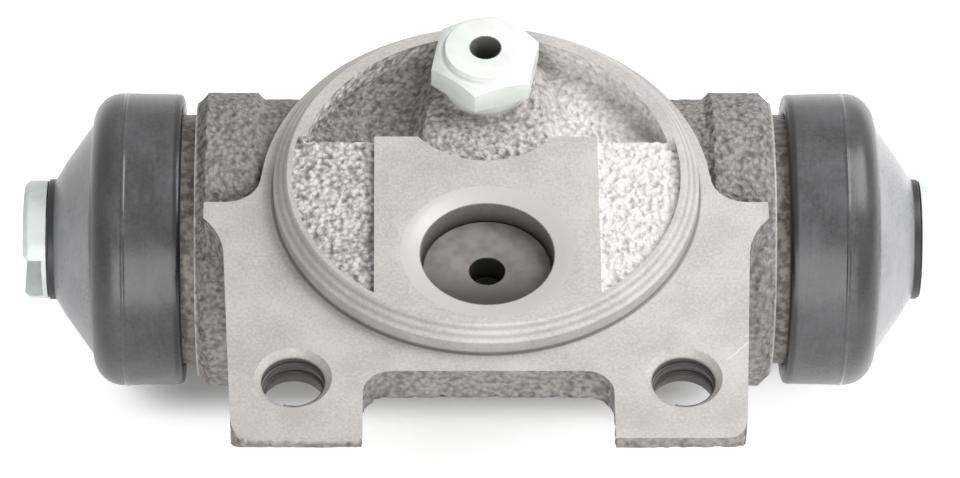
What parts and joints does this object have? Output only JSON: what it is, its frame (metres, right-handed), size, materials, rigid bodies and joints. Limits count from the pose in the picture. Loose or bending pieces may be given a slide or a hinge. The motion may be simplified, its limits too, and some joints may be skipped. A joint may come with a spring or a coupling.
{
  "type": "wheel cylinder",
  "caption": "Hydraulic wheel cylinder for a drum brake: flanged iron barrel with spigot, inlet port and bleeder, and a booted piston at each end that pushes a brake shoe.",
  "frame": {"origin": "centre of the locating spigot, in the plane of the mounting face", "axes": "+X along the bore to the right piston, +Y from the bolt feet towards the bleeder, +Z out of the mounting face"},
  "size_m": [0.0754, 0.0437, 0.03],
  "materials": {
    "cast_body": "as cast, with machined mounting faces",
    "plated_steel": "white zinc plate",
    "piston_metal": "white zinc plate",
    "spring_steel": "bright wire and sheet",
    "cup_rubber": "smooth black rubber",
    "boot_rubber": "satin dark grey rubber"
  },
  "bodies": {
    "housing": {"body_casting": "cast_body", "left_dust_boot": "boot_rubber", "right_dust_boot": "boot_rubber", "return_spring": "spring_steel"},
    "left_piston_group": {"left_piston": "piston_metal", "left_cup_seal": "cup_rubber", "left_cup_expander": "spring_steel"},
    "right_piston_group": {"right_piston": "piston_metal", "right_cup_seal": "cup_rubber", "right_cup_expander": "spring_steel"},
    "bleeder": {"bleeder_screw": "plated_steel"}
  },
  "joints": [
    {"name": "left_piston_slide", "type": "slide", "parent": "housing", "child": "left_piston_group", "axis": [-1, 0, 0], "range_m": [-0.003, 0.007], "deforming": ["left_dust_boot", "return_spring"]},
    {"name": "right_piston_slide", "type": "slide", "parent": "housing", "child": "right_piston_group", "axis": [1, 0, 0], "range_m": [-0.003, 0.007], "deforming": ["right_dust_boot", "return_spring"]},
    {"name": "bleeder_turn", "type": "hinge", "parent": "housing", "child": "bleeder", "pos_m": [0, 0.0108, 0], "axis": [0, 0, 1], "range_deg": [0, 180]}
  ]
}
